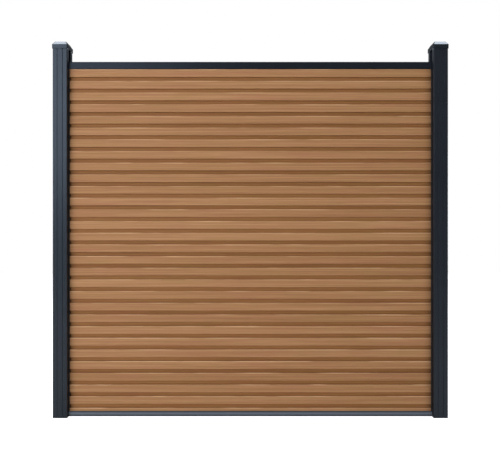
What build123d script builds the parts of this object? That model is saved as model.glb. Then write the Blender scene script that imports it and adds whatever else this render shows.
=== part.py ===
"""Composite garden screen: ribbed boards between two slotted posts, with channel rails and caps.

Millimetres. X runs along the screen, -Y is the front, +Z is up. The origin is on the ground, midway
between the posts and in the boards' middle plane.
"""

from build123d import *
import os

# Posts: square extrusions with a slot in each side around a square core tube
POST_SIZE = 70.0
POST_CORNER_RADIUS = 3.0
POST_WALL = 2.0
POST_RISE = 58.0
SLOT_WIDTH = 26.0
SLOT_DEPTH = 17.0
SLOT_MOUTH_CHAMFER = 1.2
CHAMBER_CORNER_RADIUS = 1.0

# Cover strips: channels that close the slots that hold no boards
STRIP_WALL = 1.5
STRIP_CLEARANCE = 0.2
STRIP_EDGE_CHAMFER = 1.2

# Caps: a straight band, a bevel and a flat top, with a plug in the post's core
CAP_OVERHANG = 2.5
CAP_CORNER_RADIUS = 4.0
CAP_BAND_HEIGHT = 19.0
CAP_BEVEL_RUN = 10.0
CAP_BEVEL_RISE = 16.0
CAP_EDGE_RADIUS = 1.5
CAP_SEAT_WIDTH = 5.5
CAP_SHELL = 3.0
PLUG_DEPTH = 28.0
PLUG_WALL = 2.5
PLUG_CLEARANCE = 0.2

# Boards: ribs on the front of a plain base, a tongue above and a slot below
BOARD_COUNT = 10
BOARD_LENGTH = 1800.0
BOARD_END_GAP = 2.0
BOARD_THICKNESS = 22.0
RIBS_PER_BOARD = 3
RIB_HEIGHT = 38.0
GROOVE_HEIGHT = 19.0
GROOVE_DEPTH = 11.0
RIB_EDGE_RADIUS = 1.8
GROOVE_FILLET_RADIUS = 1.2
TONGUE_HEIGHT = 14.0
TONGUE_THICKNESS = 5.0
TONGUE_CLEARANCE = 0.3
TONGUE_END_GAP = 0.6
HOLLOW_WALL = 5.0
HOLLOW_CORNER_RADIUS = 2.0

# Rails: channels over the top tongue and under the lowest rib
RAIL_WALL = 1.5
RAIL_WEB = 2.0
RAIL_CLEARANCE = 0.2
RAIL_EDGE_RADIUS = 0.8
TOP_RAIL_HEIGHT = 34.0
BOTTOM_RAIL_HEIGHT = 26.0

# Seals: strips between the slot walls and the boards' ends
SEAL_SETBACK = 2.0
SEAL_WIDTH = 12.0
SEAL_EDGE_CHAMFER = 0.6

# Rail screws: from behind, through the post's rear lip into the rail
SCREW_END_DISTANCE = 6.0
SCREW_RADIUS = 2.1
SCREW_HEAD_RADIUS = 4.0
SCREW_HEAD_HEIGHT = 2.4
SCREW_HEAD_EDGE_RADIUS = 1.0
SCREW_RECESS_RADIUS = 1.6
SCREW_RECESS_DEPTH = 1.4
SCREW_CLEARANCE = 0.1

# Places that several pieces share
POST_HALF = POST_SIZE / 2
SLOT_FLOOR_X = BOARD_LENGTH / 2 + BOARD_END_GAP
INNER_FACE_X = SLOT_FLOOR_X - SLOT_DEPTH
POST_X = INNER_FACE_X + POST_HALF
CORE_OUTER = POST_SIZE - 2 * SLOT_DEPTH
CORE_INNER = CORE_OUTER - 2 * POST_WALL
RIB_PITCH = RIB_HEIGHT + GROOVE_HEIGHT
BOARD_COVER = RIBS_PER_BOARD * RIB_PITCH
BOARD_FRONT_Y = -BOARD_THICKNESS / 2
BOARD_BACK_Y = BOARD_THICKNESS / 2
GROOVE_FLOOR_Y = BOARD_FRONT_Y + GROOVE_DEPTH
BASE_MIDDLE_Y = (GROOVE_FLOOR_Y + BOARD_BACK_Y) / 2
RAIL_INNER = BOARD_THICKNESS + 2 * RAIL_CLEARANCE
RAIL_OUTER = RAIL_INNER + 2 * RAIL_WALL
STACK_BOTTOM_Z = RAIL_WEB
STACK_TOP_Z = STACK_BOTTOM_Z + BOARD_COUNT * BOARD_COVER + TONGUE_HEIGHT
TOP_RAIL_TOP_Z = STACK_TOP_Z + RAIL_WEB
TOP_RAIL_BOTTOM_Z = TOP_RAIL_TOP_Z - TOP_RAIL_HEIGHT
POST_HEIGHT = TOP_RAIL_TOP_Z + POST_RISE
SIDES = {"left": -1, "right": 1}


def span(x0, x1, y0, y1):
    """A rectangle in a sketch, from its edges."""
    return Pos((x0 + x1) / 2, (y0 + y1) / 2) * Rectangle(x1 - x0, y1 - y0)


def slot_outline():
    """The slot in the post's -Y side, with a flared mouth."""
    half = SLOT_WIDTH / 2
    flared = half + SLOT_MOUTH_CHAMFER
    throat_y = -POST_HALF + SLOT_MOUTH_CHAMFER
    floor_y = -POST_HALF + SLOT_DEPTH
    corners = [
        (-flared, -POST_HALF),
        (flared, -POST_HALF),
        (half, throat_y),
        (half, floor_y),
        (-half, floor_y),
        (-half, throat_y),
    ]
    return make_face(Polyline(*corners, close=True))


def corner_chamber():
    """The hollow in the post's +X +Y corner block, stepped clear of the core tube's corner."""
    near = SLOT_WIDTH / 2 + POST_WALL
    far = POST_HALF - POST_WALL
    chamber = span(near, far, near, far)
    radius = CHAMBER_CORNER_RADIUS
    step = CORE_OUTER / 2 - near
    if step > 0:
        chamber -= span(near, near + step, near, near + step)
        radius = min(radius, step / 3)
    return fillet(chamber.vertices(), radius)


def post_section():
    section = RectangleRounded(POST_SIZE, POST_SIZE, POST_CORNER_RADIUS)
    section -= RectangleRounded(CORE_INNER, CORE_INNER, CHAMBER_CORNER_RADIUS)
    for quarter in range(4):
        section -= Rot(0, 0, 90 * quarter) * slot_outline()
        section -= Rot(0, 0, 90 * quarter) * corner_chamber()
    return section


def screw_places(side):
    """Where the rail screws of one post enter: X and Z on its rear face."""
    x = side * (BOARD_LENGTH / 2 - SCREW_END_DISTANCE)
    top_z = TOP_RAIL_BOTTOM_Z + TOP_RAIL_HEIGHT / 2
    bottom_z = BOTTOM_RAIL_HEIGHT / 2
    return [(x, bottom_z), (x, top_z)]


def rear_rod(x, z, radius, y_from, y_to):
    """A round bar along Y, between two distances behind the middle plane."""
    start = Plane(origin=(x, y_from, z), z_dir=(0, 1, 0))
    return extrude(start * Circle(radius), y_to - y_from)


def screw_hole(x, z):
    """The clearance hole of one rail screw, from the post's rear face to inside the rail."""
    return rear_rod(x, z, SCREW_RADIUS + SCREW_CLEARANCE, BOARD_BACK_Y, POST_HALF)


def post(side):
    body = Pos(side * POST_X, 0, 0) * extrude(post_section(), POST_HEIGHT)
    for x, z in screw_places(side):
        body -= screw_hole(x, z)
    return body


def cover_strip(side, turn):
    """A cover strip in the slot that the given turn brings the front slot to."""
    half = SLOT_WIDTH / 2 - STRIP_CLEARANCE
    face_y = -POST_HALF
    floor_y = -POST_HALF + SLOT_DEPTH
    section = span(-half, half, face_y, floor_y)
    front_corners = section.vertices().group_by(Axis.Y)[0]
    section = chamfer(front_corners, STRIP_EDGE_CHAMFER)
    section -= span(-half + STRIP_WALL, half - STRIP_WALL, face_y + STRIP_WALL, floor_y)
    return Pos(side * POST_X, 0, 0) * Rot(0, 0, turn) * extrude(section, POST_HEIGHT)


def post_cap(side):
    """A cap that seats on the post's end, with a square plug in the core."""
    size = POST_SIZE + 2 * CAP_OVERHANG
    top_size = size - 2 * CAP_BEVEL_RUN
    outline = RectangleRounded(size, size, CAP_CORNER_RADIUS)
    top_outline = RectangleRounded(top_size, top_size, CAP_CORNER_RADIUS)
    eave_z = CAP_BAND_HEIGHT
    top_z = CAP_BAND_HEIGHT + CAP_BEVEL_RISE
    band = extrude(outline, CAP_BAND_HEIGHT)
    bevel = loft([Pos(0, 0, eave_z) * outline, Pos(0, 0, top_z) * top_outline])
    body = band + bevel
    rims = body.edges().filter_by(lambda edge: edge.bounding_box().size.Z < 1e-6)
    upper_rims = rims.filter_by_position(Axis.Z, eave_z - 1, top_z + 1)
    body = fillet(upper_rims, CAP_EDGE_RADIUS)
    hollow = size - 2 * CAP_SEAT_WIDTH
    body -= extrude(Rectangle(hollow, hollow), CAP_BAND_HEIGHT - CAP_SHELL)
    plug_size = CORE_INNER - 2 * PLUG_CLEARANCE
    plug = RectangleRounded(plug_size, plug_size, CHAMBER_CORNER_RADIUS)
    plug -= Rectangle(plug_size - 2 * PLUG_WALL, plug_size - 2 * PLUG_WALL)
    plug_length = PLUG_DEPTH + CAP_BAND_HEIGHT - CAP_SHELL
    body += extrude(Pos(0, 0, -PLUG_DEPTH) * plug, plug_length)
    return Pos(side * POST_X, 0, POST_HEIGHT) * body


def rib_bottoms():
    """The lower edge of each rib above the board's own bottom edge."""
    return [index * RIB_PITCH for index in range(RIBS_PER_BOARD)]


def board_hollow(rib_z):
    """The hollow inside one rib; in the lowest rib it stays above the tongue's slot."""
    bottom = rib_z + HOLLOW_WALL
    if rib_z == 0:
        bottom += TONGUE_HEIGHT + TONGUE_END_GAP
    top = rib_z + RIB_HEIGHT - HOLLOW_WALL
    hollow = span(BOARD_FRONT_Y + HOLLOW_WALL, BOARD_BACK_Y - HOLLOW_WALL, bottom, top)
    return fillet(hollow.vertices(), HOLLOW_CORNER_RADIUS)


def board_section():
    """The board's section, with the sketch's X as depth and its Y as height."""
    section = span(GROOVE_FLOOR_Y, BOARD_BACK_Y, 0, BOARD_COVER)
    for rib_z in rib_bottoms():
        section += span(BOARD_FRONT_Y, BOARD_BACK_Y, rib_z, rib_z + RIB_HEIGHT)
    corners = section.vertices()
    section = fillet(corners.filter_by_position(Axis.X, BOARD_FRONT_Y, BOARD_FRONT_Y), RIB_EDGE_RADIUS)
    floor_corners = section.vertices().filter_by_position(Axis.X, GROOVE_FLOOR_Y, GROOVE_FLOOR_Y)
    inner_corners = floor_corners.filter_by_position(Axis.Y, 0, BOARD_COVER, inclusive=(False, False))
    section = fillet(inner_corners, GROOVE_FILLET_RADIUS)
    tongue_half = TONGUE_THICKNESS / 2
    section += span(
        BASE_MIDDLE_Y - tongue_half,
        BASE_MIDDLE_Y + tongue_half,
        BOARD_COVER,
        BOARD_COVER + TONGUE_HEIGHT,
    )
    slot_half = tongue_half + TONGUE_CLEARANCE
    section -= span(
        BASE_MIDDLE_Y - slot_half, BASE_MIDDLE_Y + slot_half, 0, TONGUE_HEIGHT + TONGUE_END_GAP
    )
    for rib_z in rib_bottoms():
        section -= board_hollow(rib_z)
    return section


def along_screen(section, length):
    """A section drawn as depth and height, drawn out along X about the middle."""
    start = Plane(origin=(-length / 2, 0, 0), x_dir=(0, 1, 0), z_dir=(1, 0, 0))
    return extrude(start * section, length)


def channel_section(height):
    """A rail's section, open upwards, standing on its web."""
    half = RAIL_OUTER / 2
    section = span(-half, half, 0, height)
    section = fillet(section.vertices().group_by(Axis.Y)[0], RAIL_EDGE_RADIUS)
    return section - span(-RAIL_INNER / 2, RAIL_INNER / 2, RAIL_WEB, height)


def rail(section, z, hole_index):
    """A rail at its height, with a hole for the screw at each end."""
    body = Pos(0, 0, z) * along_screen(section, BOARD_LENGTH)
    for side in SIDES.values():
        x, screw_z = screw_places(side)[hole_index]
        body -= screw_hole(x, screw_z)
    return body


def seal(side, face):
    """A seal strip on the front (-1) or back (+1) wall of a post's inner slot."""
    x_from = side * (INNER_FACE_X + SEAL_SETBACK)
    x_to = side * (INNER_FACE_X + SEAL_SETBACK + SEAL_WIDTH)
    y_from = face * BOARD_THICKNESS / 2
    y_to = face * SLOT_WIDTH / 2
    section = span(min(x_from, x_to), max(x_from, x_to), min(y_from, y_to), max(y_from, y_to))
    section = chamfer(section.vertices(), SEAL_EDGE_CHAMFER)
    length = TOP_RAIL_BOTTOM_Z - BOTTOM_RAIL_HEIGHT
    return Pos(0, 0, BOTTOM_RAIL_HEIGHT) * extrude(section, length)


def rail_screw(x, z):
    """One pan-head screw, with its head on the post's rear face."""
    rail_inside_y = RAIL_INNER / 2
    head = rear_rod(x, z, SCREW_HEAD_RADIUS, POST_HALF, POST_HALF + SCREW_HEAD_HEIGHT)
    head = fillet(head.edges().group_by(Axis.Y)[-1], SCREW_HEAD_EDGE_RADIUS)
    recess_y = POST_HALF + SCREW_HEAD_HEIGHT - SCREW_RECESS_DEPTH
    recess = Plane(origin=(x, recess_y, z), z_dir=(0, 1, 0)) * RegularPolygon(SCREW_RECESS_RADIUS, 6)
    head -= extrude(recess, SCREW_RECESS_DEPTH)
    return head + rear_rod(x, z, SCREW_RADIUS, rail_inside_y, POST_HALF)


def build_nodes():
    """Every piece of the screen by name."""
    nodes = {}
    for name, side in SIDES.items():
        nodes[f"post_{name}"] = post(side)
        nodes[f"post_cap_{name}"] = post_cap(side)
        strip_turns = {"front": 0, "back": 180, "outer": 90 * side}
        for place, turn in strip_turns.items():
            nodes[f"cover_strip_{name}_{place}"] = cover_strip(side, turn)
        for place, face in {"front": -1, "back": 1}.items():
            nodes[f"slot_seal_{name}_{place}"] = seal(side, face)
    board = along_screen(board_section(), BOARD_LENGTH)
    for index in range(BOARD_COUNT):
        z = STACK_BOTTOM_Z + index * BOARD_COVER
        nodes[f"board_{index + 1:02d}"] = Pos(0, 0, z) * board
    nodes["bottom_rail"] = rail(channel_section(BOTTOM_RAIL_HEIGHT), 0, 0)
    upturned = mirror(channel_section(TOP_RAIL_HEIGHT), Plane.XZ)
    nodes["top_rail"] = rail(upturned, TOP_RAIL_TOP_Z, 1)
    screws = [rail_screw(x, z) for side in SIDES.values() for x, z in screw_places(side)]
    nodes["rail_screws"] = Compound(children=screws)
    return nodes


def main():
    os.makedirs("parts", exist_ok=True)
    for name, shape in build_nodes().items():
        export_step(shape, f"parts/{name}.step")


main()
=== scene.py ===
# %% [markdown]
# # A composite garden screen
#
# The object is one bay of a garden screen. Ten ribbed boards of wood composite are stacked between two
# slotted aluminium posts. A channel rail closes the stack below and above, and each post ends in a cap.
# The CAD model already holds every piece at its real size, so this lesson adds looks only: a camera that
# stands where the photographer stood, soft light, boards with a brushed face, and a finish for each piece.

# %% load the CAD model as the fixed frame
import math
import random

import bmesh
import bpy
from mathutils import Matrix, Vector


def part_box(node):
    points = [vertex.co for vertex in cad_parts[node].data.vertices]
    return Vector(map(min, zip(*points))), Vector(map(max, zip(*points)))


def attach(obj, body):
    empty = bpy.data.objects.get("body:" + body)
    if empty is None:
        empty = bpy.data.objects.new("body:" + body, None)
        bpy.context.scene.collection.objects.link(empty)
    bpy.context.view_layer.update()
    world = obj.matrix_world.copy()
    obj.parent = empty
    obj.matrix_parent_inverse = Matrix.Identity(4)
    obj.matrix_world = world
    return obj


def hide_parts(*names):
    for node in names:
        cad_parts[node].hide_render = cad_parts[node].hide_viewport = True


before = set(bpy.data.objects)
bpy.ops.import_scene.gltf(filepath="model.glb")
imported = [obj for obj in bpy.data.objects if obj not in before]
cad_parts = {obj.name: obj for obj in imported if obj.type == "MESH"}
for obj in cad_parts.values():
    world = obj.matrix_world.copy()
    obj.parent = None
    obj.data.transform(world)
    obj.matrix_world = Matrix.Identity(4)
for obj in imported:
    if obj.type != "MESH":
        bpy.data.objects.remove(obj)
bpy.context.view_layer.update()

# %% [markdown]
# ## The camera
#
# In the photograph the posts are upright and parallel, so the camera looks level. Blender could match the
# view by eye, but it is surer to work from measures. The focal length, in pixels, and the distance come
# from how much the inner sides of the posts show. The eye stands at the height of the picture's middle,
# which needs no shift of the lens, so the screen stays in the middle when it is seen from other sides.

# %% place the camera
IMAGE_WIDTH_PX = 500
FOCAL_PX = 465.0
SENSOR_MM = 36.0
EYE_HEIGHT = 0.918
EYE_DISTANCE = 2.2795
EYE_OFFSET_X = -0.0017
LEVEL_TURN = math.radians(90)

camera_data = bpy.data.cameras.new("photo_camera")
camera_data.sensor_fit = "HORIZONTAL"
camera_data.sensor_width = SENSOR_MM
camera_data.lens = FOCAL_PX / IMAGE_WIDTH_PX * SENSOR_MM
camera = bpy.data.objects.new("photo_camera", camera_data)
camera.location = (EYE_OFFSET_X, -EYE_DISTANCE, EYE_HEIGHT)
camera.rotation_euler = (LEVEL_TURN, 0, 0)
bpy.context.scene.collection.objects.link(camera)
bpy.context.scene.camera = camera
print("lens:", round(camera_data.lens, 2), "mm")

# %% [markdown]
# ## Shader sums in plain Python
#
# A procedural finish is mostly arithmetic on positions and noise. In the node editor each sum is a Math
# node. Written out by hand that is long and hard to read, so a small class wraps a socket and gives it
# Python's own operators. Adding two wires then adds a Math node and returns its output. A second class
# holds a material and makes any other node from its type, its settings and what goes into its sockets.

# %% a socket that takes part in sums
class Wire:
    """A shader socket that can be added, subtracted, multiplied and divided."""

    def __init__(self, tree, socket):
        self.tree = tree
        self.socket = socket

    def maths(self, operation, first, second=0.0, clamp=False):
        node = self.tree.nodes.new("ShaderNodeMath")
        node.operation = operation
        node.use_clamp = clamp
        for place, value in enumerate((first, second)):
            plug(self.tree, node.inputs[place], value)
        return Wire(self.tree, node.outputs[0])

    def __add__(self, other):
        return self.maths("ADD", self, other)

    __radd__ = __add__

    def __sub__(self, other):
        return self.maths("SUBTRACT", self, other)

    def __rsub__(self, other):
        return self.maths("SUBTRACT", other, self)

    def __mul__(self, other):
        return self.maths("MULTIPLY", self, other)

    __rmul__ = __mul__

    def __truediv__(self, other):
        return self.maths("DIVIDE", self, other)

    def floor(self):
        return self.maths("FLOOR", self)

    def size(self):
        return self.maths("ABSOLUTE", self)

    def clamped(self):
        return self.maths("ADD", self, 0.0, clamp=True)


def plug(tree, socket, value):
    """Links a wire into a socket, or sets a plain value on it."""
    if isinstance(value, Wire):
        tree.links.new(value.socket, socket)
    else:
        socket.default_value = value


# %% a material that makes its own nodes
class Finish:
    """A material under construction, ending in one Principled shader."""

    def __init__(self, name):
        self.material = bpy.data.materials.new(name)
        self.material.use_nodes = True
        self.tree = self.material.node_tree
        self.shader = self.tree.nodes["Principled BSDF"]

    def node(self, kind, settings=None, sockets=None, output=0):
        """Any node: its settings are set first, then values or wires go into its sockets."""
        made = self.tree.nodes.new(kind)
        for name, value in (settings or {}).items():
            if name == "stops":
                set_stops(made.color_ramp, value)
            else:
                setattr(made, name, value)
        for place, value in (sockets or {}).items():
            plug(self.tree, made.inputs[place], value)
        return Wire(self.tree, made.outputs[output])

    def place(self):
        """The three coordinates of the point, in metres in the object's frame."""
        point = self.node("ShaderNodeTexCoord", output="Object")
        return [self.node("ShaderNodeSeparateXYZ", sockets={0: point}, output=axis) for axis in range(3)]

    def noise(self, x, y, z, detail=3.0, roughness=0.55):
        """Noise from 0 to 1 at a place that is already scaled to the wanted grain."""
        spot = self.node("ShaderNodeCombineXYZ", sockets={0: x, 1: y, 2: z})
        return self.node(
            "ShaderNodeTexNoise",
            sockets={"Vector": spot, "Scale": 1.0, "Detail": detail, "Roughness": roughness},
        )

    def chance(self, number):
        """A random value from 0 to 1 for each whole number."""
        return self.node("ShaderNodeTexWhiteNoise", {"noise_dimensions": "1D"}, {"W": number})

    def mix(self, share, first, second, blend="MIX"):
        """Two colours mixed; the colour sockets of this node are its last two."""
        settings = {"data_type": "RGBA", "blend_type": blend}
        return self.node("ShaderNodeMix", settings, {0: share, 6: first, 7: second}, output=2)

    def ramp(self, value, stops):
        return self.node("ShaderNodeValToRGB", {"stops": stops}, {0: value})

    def bump(self, height, distance, strength=1.0):
        sockets = {"Height": height, "Distance": distance, "Strength": strength}
        return self.node("ShaderNodeBump", sockets=sockets)

    def feed(self, **sockets):
        """Values or wires for the shader's sockets, named with underscores for spaces."""
        for name, value in sockets.items():
            plug(self.tree, self.shader.inputs[name.replace("_", " ")], value)
        return self.material


def set_stops(ramp, stops):
    """Gives a colour ramp its stops: pairs of a position and a colour."""
    while len(ramp.elements) < len(stops):
        ramp.elements.new(1.0)
    for element, (position, colour) in zip(ramp.elements, stops):
        element.position = position
        element.color = colour


def paint(red, green, blue):
    """An opaque colour in linear light."""
    return (red, green, blue, 1.0)


print("shader helpers ready")

# %% [markdown]
# ## Light and stage
#
# The photograph was taken in open, frontal daylight that was stronger on the left. Soft lamps stand in for
# it: a key lamp in front that lights the boards but isn't mirrored, a wide dim panel on the left that the
# left post mirrors, a small lamp above each cap for its bevel, and lamps behind and beside it so that
# those sides aren't black. The world fills the shadows. The camera sees the world as plain white, while
# everything else is lit by a greyer sky: the Light Path node tells the two apart.

# %% the world
WHITE = paint(1.0, 1.0, 1.0)
SKY_TINT = paint(0.93, 0.97, 1.0)
SKY_STRENGTH = 0.22


def make_world():
    """Plain white to the camera, and a dimmer sky to everything else."""
    world = bpy.data.worlds.new("studio")
    world.use_nodes = True
    tree = world.node_tree
    seen = tree.nodes["Background"]
    seen.inputs["Color"].default_value = WHITE
    seen.inputs["Strength"].default_value = 1.0
    sky = tree.nodes.new("ShaderNodeBackground")
    sky.inputs["Color"].default_value = SKY_TINT
    sky.inputs["Strength"].default_value = SKY_STRENGTH
    path = tree.nodes.new("ShaderNodeLightPath")
    choose = tree.nodes.new("ShaderNodeMixShader")
    tree.links.new(path.outputs["Is Camera Ray"], choose.inputs[0])
    tree.links.new(sky.outputs[0], choose.inputs[1])
    tree.links.new(seen.outputs[0], choose.inputs[2])
    tree.links.new(choose.outputs[0], tree.nodes["World Output"].inputs["Surface"])
    bpy.context.scene.world = world


make_world()
bpy.context.scene.view_settings.view_transform = "Standard"
print("sky strength:", SKY_STRENGTH)

# %% the lamps, in metres and watts
SUNLIT = (0.95, 0.96, 0.96)
DAYLIGHT = (0.90, 0.96, 1.05)
BLUE_SKY = (0.84, 0.95, 1.12)
LAMPS = {
    "key_lamp": dict(
        at=(-1.4, -4.6, 1.5),
        aim=(-0.1, 0.0, 0.9),
        size=(1.4, 1.4),
        watts=106.0,
        tint=SUNLIT,
        mirrored=False,
    ),
    "left_panel": dict(
        at=(-2.75, -4.4, 2.8),
        aim=(-0.6, 0.0, 1.2),
        size=(3.0, 2.8),
        watts=80.0,
        tint=BLUE_SKY,
    ),
    "left_cap_lamp": dict(at=(-1.37, -0.12, 3.0), aim=(-1.37, -0.12, 0.0), size=(0.6, 0.6), watts=12.6),
    "right_cap_lamp": dict(at=(1.37, -0.12, 3.0), aim=(1.37, -0.12, 0.0), size=(0.6, 0.6), watts=12.6),
    "left_side_lamp": dict(at=(-4.4, 1.6, 1.0), aim=(-0.95, 0.0, 0.9), size=(2.0, 1.8), watts=95.0),
    "right_side_lamp": dict(at=(4.4, 1.6, 1.0), aim=(0.95, 0.0, 0.9), size=(2.0, 1.8), watts=95.0),
    "back_lamp": dict(at=(0.0, 4.2, 0.8), aim=(0.0, 0.0, 0.9), size=(1.8, 1.2), watts=105.0),
}


def make_lamp(name, at, aim, size, watts, tint=DAYLIGHT, mirrored=True):
    data = bpy.data.lights.new(name, "AREA")
    data.shape = "RECTANGLE"
    data.size, data.size_y = size
    data.energy = watts
    data.color = tint
    lamp = bpy.data.objects.new(name, data)
    lamp.location = at
    lamp.rotation_euler = (Vector(aim) - Vector(at)).to_track_quat("-Z", "Y").to_euler()
    lamp.visible_camera = False
    lamp.visible_glossy = mirrored
    bpy.context.scene.collection.objects.link(lamp)


for lamp_name, lamp_values in LAMPS.items():
    make_lamp(lamp_name, **lamp_values)
print("lamps:", ", ".join(LAMPS))

# %% the pale floor
FLOOR_SIZE = 14.0
FLOOR_DROP = 0.0005
FLOOR_PAINT = paint(0.8, 0.8, 0.8)
FLOOR_ROUGHNESS = 0.9
FLOOR_GLOW = 0.95


def make_floor():
    half = FLOOR_SIZE / 2
    corners = [(-half, -half, 0), (half, -half, 0), (half, half, 0), (-half, half, 0)]
    mesh = bpy.data.meshes.new("floor")
    mesh.from_pydata(corners, [], [(0, 1, 2, 3)])
    floor = bpy.data.objects.new("floor", mesh)
    floor.location.z = -FLOOR_DROP
    bpy.context.scene.collection.objects.link(floor)
    finish = Finish("pale_floor")
    seen = finish.node("ShaderNodeLightPath", output="Is Camera Ray")
    mesh.materials.append(
        finish.feed(
            Base_Color=FLOOR_PAINT,
            Roughness=FLOOR_ROUGHNESS,
            Emission_Color=seen * FLOOR_GLOW,
            Emission_Strength=1.0,
        )
    )


make_floor()
print("floor:", FLOOR_SIZE, "m square")

# %% [markdown]
# ## The boards' section
#
# Each board is drawn out of a die, so one section along its whole length says everything: three ribs, the
# grooves between them, a tongue above, a slot below and a hollow in each rib. The CAD board has that
# section with clean faces. The real faces are brushed after extrusion, which leaves fine lines along the
# board. Bump alone would vanish at the edge of a rib, so the lines are cut into the section itself.

# %% the section's sizes, from the frame and in metres
ROOT = "root"
RIBS_PER_BOARD = 3
RIB_HEIGHT = 0.038
GROOVE_DEPTH = 0.011
RIB_EDGE_RADIUS = 0.0018
GROOVE_RADIUS = 0.0012
BACK_EDGE_RADIUS = 0.0018
TONGUE_THICKNESS = 0.005
TONGUE_CLEARANCE = 0.0003
TONGUE_END_GAP = 0.0006
HOLLOW_WALL = 0.005
HOLLOW_RADIUS = 0.002

BOARD_NODES = sorted(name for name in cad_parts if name.startswith("board_"))
BOARD_LOW, BOARD_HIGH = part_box(BOARD_NODES[0])
STACK_BOTTOM = BOARD_LOW.z
BOARD_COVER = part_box(BOARD_NODES[1])[0].z - STACK_BOTTOM
RIB_PITCH = BOARD_COVER / RIBS_PER_BOARD
FRONT = BOARD_LOW.y
BACK = BOARD_HIGH.y
GROOVE_FLOOR = FRONT + GROOVE_DEPTH
TONGUE_HEIGHT = BOARD_HIGH.z - STACK_BOTTOM - BOARD_COVER
print("rib pitch:", round(RIB_PITCH * 1000, 2), "mm, tongue:", round(TONGUE_HEIGHT * 1000, 2), "mm")

# %% brushed lines and rounded corners
LINE_SPACING = (0.0013, 0.0034)
LINE_WIDTH = (0.0004, 0.0009)
LINE_DEPTH = (0.00008, 0.00026)
ARC_STEPS = 5


def brushed_run(start, end, dice):
    """Points of the fine lines on a straight upright run; each line is a shallow V into the board."""
    inward = 1.0 if start[0] == FRONT else -1.0
    upward = 1.0 if end[1] > start[1] else -1.0
    points = []
    travelled = dice.uniform(*LINE_SPACING)
    length = abs(end[1] - start[1])
    while travelled < length - LINE_SPACING[1]:
        width = dice.uniform(*LINE_WIDTH)
        depth = dice.uniform(*LINE_DEPTH)
        for along, into in ((0.0, 0.0), (0.5, depth), (1.0, 0.0)):
            height = start[1] + upward * (travelled + along * width)
            points.append((start[0] + inward * into, height))
        travelled += width + dice.uniform(*LINE_SPACING)
    return points


def rounded_corner(before, corner, after, radius):
    """A right-angled corner turned into a short arc, or the corner itself where the radius is 0."""
    here = Vector(corner)
    if radius == 0:
        return [tuple(here)]
    back_way = (Vector(before) - here).normalized() * radius
    on_way = (Vector(after) - here).normalized() * radius
    centre = here + back_way + on_way
    turns = [math.pi / 2 * step / ARC_STEPS for step in range(ARC_STEPS + 1)]
    return [tuple(centre - back_way * math.sin(turn) - on_way * math.cos(turn)) for turn in turns]


def outline(corners, dice):
    """An outline from corners of depth, height, radius and whether the run that follows is brushed."""
    points = []
    for index, (depth, height, radius, brushed) in enumerate(corners):
        before = corners[index - 1][:2]
        after = corners[(index + 1) % len(corners)]
        points += rounded_corner(before, (depth, height), after[:2], radius)
        if brushed:
            upward = 1.0 if after[1] > height else -1.0
            run_start = (depth, height + upward * radius)
            run_end = (after[0], after[1] - upward * after[2])
            points += brushed_run(run_start, run_end, dice)
    return points


# %% the outline and hollows of one board
def board_corners():
    """The board's corners, from the tongue's slot up the front and down the back."""
    middle = (GROOVE_FLOOR + BACK) / 2
    tongue = TONGUE_THICKNESS / 2
    slot = tongue + TONGUE_CLEARANCE
    slot_top = TONGUE_HEIGHT + TONGUE_END_GAP
    tongue_top = BOARD_COVER + TONGUE_HEIGHT
    corners = [
        (middle + slot, 0.0, 0.0, False),
        (middle + slot, slot_top, 0.0, False),
        (middle - slot, slot_top, 0.0, False),
        (middle - slot, 0.0, 0.0, False),
    ]
    for rib in range(RIBS_PER_BOARD):
        low = rib * RIB_PITCH
        high = low + RIB_HEIGHT
        if rib > 0:
            corners.append((GROOVE_FLOOR, low, GROOVE_RADIUS, False))
        corners.append((FRONT, low, RIB_EDGE_RADIUS, True))
        corners.append((FRONT, high, RIB_EDGE_RADIUS, False))
        corners.append((GROOVE_FLOOR, high, GROOVE_RADIUS, False))
    corners += [
        (GROOVE_FLOOR, BOARD_COVER, 0.0, False),
        (middle - tongue, BOARD_COVER, 0.0, False),
        (middle - tongue, tongue_top, BACK_EDGE_RADIUS, False),
        (middle + tongue, tongue_top, BACK_EDGE_RADIUS, False),
        (middle + tongue, BOARD_COVER, 0.0, False),
        (BACK, BOARD_COVER, BACK_EDGE_RADIUS, True),
        (BACK, 0.0, BACK_EDGE_RADIUS, False),
    ]
    return corners


def hollow_corners(rib):
    """The hollow of one rib; the lowest stays above the tongue's slot."""
    low = rib * RIB_PITCH + HOLLOW_WALL
    if rib == 0:
        low += TONGUE_HEIGHT + TONGUE_END_GAP
    high = rib * RIB_PITCH + RIB_HEIGHT - HOLLOW_WALL
    near = FRONT + HOLLOW_WALL
    far = BACK - HOLLOW_WALL
    return [(d, h, HOLLOW_RADIUS, False) for d, h in ((near, low), (near, high), (far, high), (far, low))]


print("corners in a board's section:", len(board_corners()))

# %% [markdown]
# ## Drawing the boards out
#
# A flat curve with several closed splines fills itself and keeps its holes open, and its extrude value
# draws it out on both sides of its plane. That is the die of the real machine, so it suits the boards well.
# The curve is turned into a mesh, its axes are swapped so that it runs along X, and doubled points at the
# end faces are merged so that each board is one closed skin.

# %% make the boards
MERGE_DISTANCE = 1e-6
SHARP_ANGLE = math.radians(32)
# depth, height and length of the section's plane become Y, Z and X of the screen
SECTION_TO_SCREEN = Matrix(((0, 0, 1, 0), (1, 0, 0, 0), (0, 1, 0, 0), (0, 0, 0, 1)))


def add_spline(curve, points):
    spline = curve.splines.new("POLY")
    spline.points.add(len(points) - 1)
    for place, (depth, height) in zip(spline.points, points):
        place.co = (depth, height, 0.0, 1.0)
    spline.use_cyclic_u = True


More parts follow.
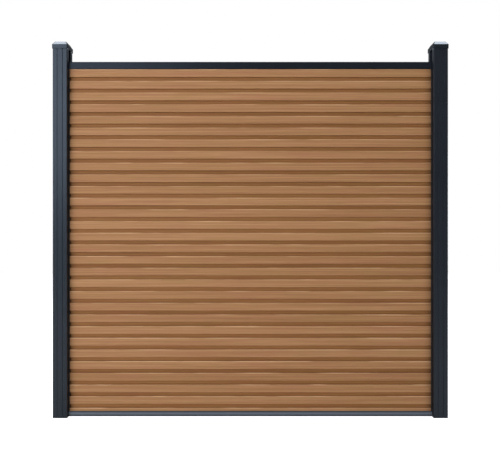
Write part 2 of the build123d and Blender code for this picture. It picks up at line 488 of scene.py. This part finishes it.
def draw_out(node, style, loops, half_length, placing):
    """A closed skin that replaces a CAD node: loops filled, drawn out both ways and put in place."""
    curve = bpy.data.curves.new(f"{node}_section", "CURVE")
    curve.dimensions = "2D"
    curve.fill_mode = "BOTH"
    curve.extrude = half_length
    for loop in loops:
        add_spline(curve, loop)
    die = bpy.data.objects.new(f"{node}_section", curve)
    mesh = bpy.data.meshes.new_from_object(die)
    bpy.data.objects.remove(die)
    mesh.name = f"{style}_{node}"
    mesh.transform(placing)
    skin = bmesh.new()
    skin.from_mesh(mesh)
    bmesh.ops.remove_doubles(skin, verts=skin.verts, dist=MERGE_DISTANCE)
    bmesh.ops.recalc_face_normals(skin, faces=skin.faces)
    skin.to_mesh(mesh)
    skin.free()
    mesh.materials.clear()
    mesh.shade_smooth()
    mesh.set_sharp_from_angle(angle=SHARP_ANGLE)
    piece = bpy.data.objects.new(mesh.name, mesh)
    bpy.context.scene.collection.objects.link(piece)
    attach(piece, ROOT)
    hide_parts(node)
    return piece


def make_board(node, seed):
    dice = random.Random(seed)
    low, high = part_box(node)
    loops = [outline(board_corners(), dice)]
    for rib in range(RIBS_PER_BOARD):
        loops.append(outline(hollow_corners(rib), dice))
    placing = Matrix.Translation((0, 0, low.z)) @ SECTION_TO_SCREEN
    return draw_out(node, "brushed", loops, (high.x - low.x) / 2, placing)


boards = [make_board(node, seed) for seed, node in enumerate(BOARD_NODES)]
print("boards:", len(boards), "faces each:", len(boards[0].data.polygons))

# %% [markdown]
# ## Lip seals
#
# A rubber seal lines the slot on both faces of the boards. In the CAD model it is a plain strip inside the
# slot. The photograph has a dark line beside each post, which a soft lip on the seal would explain: it lies
# on the ribs just outside the slot. A lip is too thin and soft to matter as a solid, so it is drawn here,
# again as a filled section, this time drawn out upward.

# %% make the seals
SEAL_LIP = 0.0045
SEAL_NODES = sorted(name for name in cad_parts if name.startswith("slot_seal"))


def make_seal(node):
    low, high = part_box(node)
    middle = (low + high) / 2
    toward = -1.0 if middle.x > 0 else 1.0
    post_side = high.x if toward < 0 else low.x
    post_low, post_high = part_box("post_right" if toward < 0 else "post_left")
    post_face = post_low.x if toward < 0 else post_high.x
    nose = (high.y - low.y) / 2
    nose_centre = post_face + toward * (SEAL_LIP - nose)
    turns = [math.pi * step / (2 * ARC_STEPS) for step in range(2 * ARC_STEPS + 1)]
    section = [(post_side, low.y)]
    for turn in turns:
        section.append((nose_centre + toward * nose * math.sin(turn), middle.y - nose * math.cos(turn)))
    section.append((post_side, high.y))
    return draw_out(node, "lip", [section], (high.z - low.z) / 2, Matrix.Translation((0, 0, middle.z)))


seals = [make_seal(node) for node in SEAL_NODES]
print("seals:", len(seals))

# %% [markdown]
# ## Wood composite
#
# The boards are wood flour in plastic, extruded and then brushed. Their colour is a warm brown with long
# soft streaks, slightly redder here and yellower there, and each rib differs a little from the next. Noise
# that is stretched along the board gives the streaks. A whole number for each rib, counted from the height,
# seeds its own tone. The grooves aren't brushed, and a painted shade darkens them with depth. A painted
# highlight runs in places along the upper edges of the ribs, and a painted shade darkens the boards towards
# the posts. On the flat back, a darker line marks the joint between two boards.

# %% the composite's colours
TEAK_DARK = paint(0.285, 0.128, 0.049)
TEAK = paint(0.395, 0.190, 0.078)
TEAK_PALE = paint(0.500, 0.264, 0.122)
TEAK_STOPS = [(0.22, TEAK_DARK), (0.5, TEAK), (0.80, TEAK_PALE)]
TEAK_RED = paint(0.385, 0.155, 0.079)
TEAK_GOLD = paint(0.357, 0.194, 0.066)
# painted light: the pale edge colour is a painted highlight, the groove and end colours are painted shade
EDGE_HIGHLIGHT_PAINT = paint(0.78, 0.47, 0.26)
GROOVE_SHADE = paint(0.70, 0.61, 0.44)
END_SHADE = paint(0.46, 0.45, 0.45)
JOINT_SHADE = paint(0.42, 0.38, 0.36)
print("teak tones:", len(TEAK_STOPS))

# %% the composite's grain, as noise scales per metre or per rib
RIB_SHIFT = 37.0
STREAK_GRAIN = (1.7, 40.0, 210.0)
FIBRE_GRAIN = (14.0, 300.0, 1500.0)
PATCH_GRAIN = (3.2, 7.3, 26.0)
# the last scale, per metre and per rib, breaks up the painted highlight on the ribs' upper edges
EDGE_HIGHLIGHT_GRAIN = (4.0, 3.1)


def scaled(point, scales):
    """A point's coordinates, each times its own scale."""
    return [axis * scale for axis, scale in zip(point, scales)]


def even(scale):
    """The same scale for all three coordinates."""
    return (scale, scale, scale)


print("streaks run for about", round(1 / STREAK_GRAIN[0], 2), "m")

# %% where the composite's tones change, in metres and as shares
STREAK_SHARE = 0.95
RIB_SHARE = 0.13
FIBRE_SHARE = 0.35
RED_ABOVE = 0.52
GOLD_BELOW = 0.48
PATCH_SLOPE = 3.2
PATCH_SHARE = 0.55
# the painted shade in the grooves starts this far behind the front and deepens over this run
GROOVE_SHADE_START = 0.0025
GROOVE_SHADE_RUN = GROOVE_DEPTH - 0.004
# the painted highlight on each rib's upper edge: its band, its least share and how noise breaks it up
EDGE_HIGHLIGHT_BAND = 0.0055
EDGE_HIGHLIGHT_LEAST = 0.12
EDGE_HIGHLIGHT_ABOVE = 0.46
EDGE_HIGHLIGHT_SLOPE = 6.0
EDGE_HIGHLIGHT_SHARE = 0.68
JOINT_BAND = 0.0040
BACK_SKIN = 0.0040
BACK_SLOPE = 2.0
# the width of the painted shade that darkens the boards beside the posts
END_SHADE_BAND = 0.048
BAY_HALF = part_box("post_right")[0].x
COMPOSITE_ROUGHNESS = 0.60
STREAK_ROUGHNESS = 0.16
FIBRE_RELIEF = 0.6
STREAK_RELIEF = 0.4
RELIEF_HEIGHT = 0.0005
RELIEF_STRENGTH = 0.55
COMPOSITE_IOR = 1.45
print("bay:", round(2 * BAY_HALF, 3), "m wide")


# %% the composite finish
def composite_finish():
    finish = Finish("brushed_teak_composite")
    x, y, z = finish.place()
    height = z - STACK_BOTTOM
    rib = (height / RIB_PITCH).floor()
    own = finish.chance(rib + 0.5)
    shifted = x + own * RIB_SHIFT
    streak = finish.noise(*scaled((shifted, y, z), STREAK_GRAIN), detail=4.0, roughness=0.6)
    fibre = finish.noise(*scaled((shifted, y, z), FIBRE_GRAIN), detail=2.0)
    patch = finish.noise(*scaled((shifted, rib, z), PATCH_GRAIN), detail=2.0)
    tone = 0.5 + (streak - 0.5) * STREAK_SHARE + (own - 0.5) * RIB_SHARE + (fibre - 0.5) * FIBRE_SHARE
    colour = finish.ramp(tone, TEAK_STOPS)
    colour = finish.mix(((patch - RED_ABOVE) * PATCH_SLOPE).clamped() * PATCH_SHARE, colour, TEAK_RED)
    colour = finish.mix(((GOLD_BELOW - patch) * PATCH_SLOPE).clamped() * PATCH_SHARE, colour, TEAK_GOLD)
    # painted shade: the colour darkens with depth into each groove
    depth = ((y - FRONT - GROOVE_SHADE_START) / GROOVE_SHADE_RUN).clamped()
    # painted highlight: a pale line along each rib's upper edge, broken up by noise
    up_rib = height - rib * RIB_PITCH
    edge = ((up_rib - (RIB_HEIGHT - EDGE_HIGHLIGHT_BAND)) / EDGE_HIGHLIGHT_BAND).clamped() * (1.0 - depth)
    edge_highlight_noise = finish.noise(*scaled((shifted, rib), EDGE_HIGHLIGHT_GRAIN), 0.0, detail=2.0)
    edge_highlight = EDGE_HIGHLIGHT_LEAST + ((edge_highlight_noise - EDGE_HIGHLIGHT_ABOVE) * EDGE_HIGHLIGHT_SLOPE).clamped() * EDGE_HIGHLIGHT_SHARE
    colour = finish.mix(edge * edge_highlight, colour, EDGE_HIGHLIGHT_PAINT)
    colour = finish.mix(depth, colour, GROOVE_SHADE, blend="MULTIPLY")
    up_board = height - (height / BOARD_COVER).floor() * BOARD_COVER
    to_joint = BOARD_COVER / 2 - (up_board - BOARD_COVER / 2).size()
    on_back = ((y - (BACK - BACK_SKIN)) / BACK_SKIN * BACK_SLOPE).clamped()
    joint = (1.0 - to_joint / JOINT_BAND).clamped() * on_back
    colour = finish.mix(joint, colour, JOINT_SHADE, blend="MULTIPLY")
    # painted shade: the boards darken towards their ends beside the posts
    post_shade_share = 1.0 - ((BAY_HALF - x.size()) / END_SHADE_BAND).clamped()
    colour = finish.mix(post_shade_share * post_shade_share, colour, END_SHADE, blend="MULTIPLY")
    relief = fibre * FIBRE_RELIEF + streak * STREAK_RELIEF
    return finish.feed(
        Base_Color=colour,
        Roughness=COMPOSITE_ROUGHNESS + streak * STREAK_ROUGHNESS,
        Normal=finish.bump(relief, RELIEF_HEIGHT, RELIEF_STRENGTH),
        IOR=COMPOSITE_IOR,
    )


COMPOSITE = composite_finish()
for board in boards:
    board.data.materials.append(COMPOSITE)
print("composite nodes:", len(COMPOSITE.node_tree.nodes))

# %% [markdown]
# ## Powder coating
#
# Posts, strips and rails are aluminium under an anthracite powder coat. The coat is a fine orange peel with
# a satin gloss, and the die's faint lines run through it along each extrusion: upright on the posts, level
# on the rails. One function makes the coat, told which axis the piece runs along, because the lines are
# noise that is squeezed across that axis. The CAD pieces keep their meshes and only get this material.

# %% the coating's colours and grain
ALONG_X = 0
ALONG_Z = 2
COAT_STOPS = [(0.36, paint(0.0075, 0.0092, 0.0130)), (0.64, paint(0.0118, 0.0140, 0.0190))]
COOL_GLOSS = paint(0.80, 0.91, 1.0)
# a pale bluish colour for a painted highlight on the bottom rail
RAIL_HIGHLIGHT_PAINT = paint(0.150, 0.165, 0.195)
# height in metres and share of the painted highlight on the bottom rail, pale along the middle of its face
RAIL_HIGHLIGHT_BAND = [(0.0, 0.10), (0.006, 0.22), (0.010, 0.80), (0.017, 0.85), (0.021, 0.30), (0.028, 0.15)]
LINE_GRAIN = 620.0
LINE_RUN = 0.8
PEEL_GRAIN = 900.0
CLOUD_GRAIN = 6.0
LINE_TONE = 0.45
PEEL_TONE = 0.25
CLOUD_TONE = 0.30
COAT_ROUGHNESS = 0.27
LINE_ROUGHNESS = 0.10
PEEL_ROUGHNESS = 0.08
COAT_RELIEF = 0.00012
COAT_RELIEF_STRENGTH = 0.6
POST_GLOSS = 1.53
TOP_RAIL_GLOSS = 1.33
BOTTOM_RAIL_GLOSS = 1.5
print("dust on the bottom rail up to", RAIL_HIGHLIGHT_BAND[-1][0], "m")


# %% the coating on posts, strips and rails
def coating_finish(name, along, gloss, highlight=None):
    """The coat on a piece along an axis, with an optional painted highlight as stops over the height in
    metres.
    """
    finish = Finish(name)
    place = finish.place()
    line_scale = list(even(LINE_GRAIN))
    line_scale[along] = LINE_RUN
    lines = finish.noise(*scaled(place, line_scale), detail=3.0)
    peel = finish.noise(*scaled(place, even(PEEL_GRAIN)), detail=1.0)
    cloud = finish.noise(*scaled(place, even(CLOUD_GRAIN)), detail=3.0)
    tone = lines * LINE_TONE + peel * PEEL_TONE + cloud * CLOUD_TONE
    colour = finish.ramp(tone, COAT_STOPS)
    # painted highlight: a pale band along the middle of the bottom rail's face
    if highlight:
        top = highlight[-1][0]
        stops = [(height / top, paint(share, share, share)) for height, share in highlight]
        colour = finish.mix(finish.ramp(place[2] / top, stops), colour, RAIL_HIGHLIGHT_PAINT)
    return finish.feed(
        Base_Color=colour,
        Roughness=COAT_ROUGHNESS + lines * LINE_ROUGHNESS + peel * PEEL_ROUGHNESS,
        Normal=finish.bump(lines * 0.5 + peel * 0.5, COAT_RELIEF, COAT_RELIEF_STRENGTH),
        IOR=gloss,
        Specular_Tint=COOL_GLOSS,
    )


UPRIGHT_COAT = coating_finish("upright_anthracite_coat", ALONG_Z, POST_GLOSS)
TOP_COAT = coating_finish("top_rail_coat", ALONG_X, TOP_RAIL_GLOSS)
FOOT_COAT = coating_finish("bottom_rail_coat", ALONG_X, BOTTOM_RAIL_GLOSS, highlight=RAIL_HIGHLIGHT_BAND)
print("coats:", UPRIGHT_COAT.name, TOP_COAT.name, FOOT_COAT.name)

# %% [markdown]
# ## Caps, seals and screws
#
# The caps are moulded plastic, smoother than the coat, so their bevels mirror the light above as a pale
# band. The seals are plain black rubber that hardly shows, and the screws behind are bare steel. Each is a
# short recipe with the same helpers: a little noise in colour and gloss keeps them from looking drawn.

# %% the caps' plastic
CAP_STOPS = [(0.3, paint(0.009, 0.012, 0.015)), (0.7, paint(0.013, 0.016, 0.020))]
CAP_CLOUD_GRAIN = 35.0
CAP_STIPPLE_GRAIN = 1600.0
CAP_ROUGHNESS = 0.16
CAP_CLOUD_ROUGHNESS = 0.08
CAP_RELIEF = 0.00006
CAP_RELIEF_STRENGTH = 0.4
CAP_IOR = 1.42


def cap_finish():
    finish = Finish("moulded_cap")
    place = finish.place()
    cloud = finish.noise(*scaled(place, even(CAP_CLOUD_GRAIN)), detail=3.0)
    stipple = finish.noise(*scaled(place, even(CAP_STIPPLE_GRAIN)), detail=1.0)
    return finish.feed(
        Base_Color=finish.ramp(cloud, CAP_STOPS),
        Roughness=CAP_ROUGHNESS + cloud * CAP_CLOUD_ROUGHNESS,
        Normal=finish.bump(stipple, CAP_RELIEF, CAP_RELIEF_STRENGTH),
        IOR=CAP_IOR,
        Specular_Tint=COOL_GLOSS,
    )


CAP_PLASTIC = cap_finish()
print("cap nodes:", len(CAP_PLASTIC.node_tree.nodes))

# %% the screws' steel
STEEL_STOPS = [(0.3, paint(0.42, 0.42, 0.43)), (0.7, paint(0.58, 0.58, 0.58))]
SCRATCH_GRAIN = (3000.0, 400.0, 900.0)
STEEL_ROUGHNESS = 0.28
SCRATCH_ROUGHNESS = 0.16


def screw_finish():
    finish = Finish("plain_screw_steel")
    scratch = finish.noise(*scaled(finish.place(), SCRATCH_GRAIN), detail=2.0)
    return finish.feed(
        Base_Color=finish.ramp(scratch, STEEL_STOPS),
        Metallic=1.0,
        Roughness=STEEL_ROUGHNESS + scratch * SCRATCH_ROUGHNESS,
    )


SCREW_STEEL = screw_finish()
print("screw nodes:", len(SCREW_STEEL.node_tree.nodes))

# %% the seals' rubber
RUBBER_STOPS = [(0.3, paint(0.008, 0.008, 0.008)), (0.7, paint(0.016, 0.016, 0.016))]
BLOOM_GRAIN = 60.0
RUBBER_ROUGHNESS = 0.75
BLOOM_ROUGHNESS = 0.15


def seal_finish():
    finish = Finish("seal_rubber")
    bloom = finish.noise(*scaled(finish.place(), even(BLOOM_GRAIN)), detail=3.0)
    return finish.feed(
        Base_Color=finish.ramp(bloom, RUBBER_STOPS),
        Roughness=RUBBER_ROUGHNESS + bloom * BLOOM_ROUGHNESS,
    )


SEAL_RUBBER = seal_finish()
for seal in seals:
    seal.data.materials.append(SEAL_RUBBER)
print("seal nodes:", len(SEAL_RUBBER.node_tree.nodes))

# %% dress the CAD's own pieces
FINISHES = {
    "post_left": UPRIGHT_COAT,
    "post_right": UPRIGHT_COAT,
    "cover_strip": UPRIGHT_COAT,
    "top_rail": TOP_COAT,
    "bottom_rail": FOOT_COAT,
    "post_cap": CAP_PLASTIC,
    "rail_screws": SCREW_STEEL,
}


def finish_node(node):
    """The finish of a CAD node, by the start of its name."""
    for start, material in FINISHES.items():
        if node.startswith(start):
            return material
    return None


dressed = 0
for node_name, node_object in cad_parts.items():
    material = finish_node(node_name)
    if material is not None:
        for material_slot in node_object.material_slots:
            material_slot.material = material
        dressed += 1
print("CAD nodes with a new finish:", dressed)
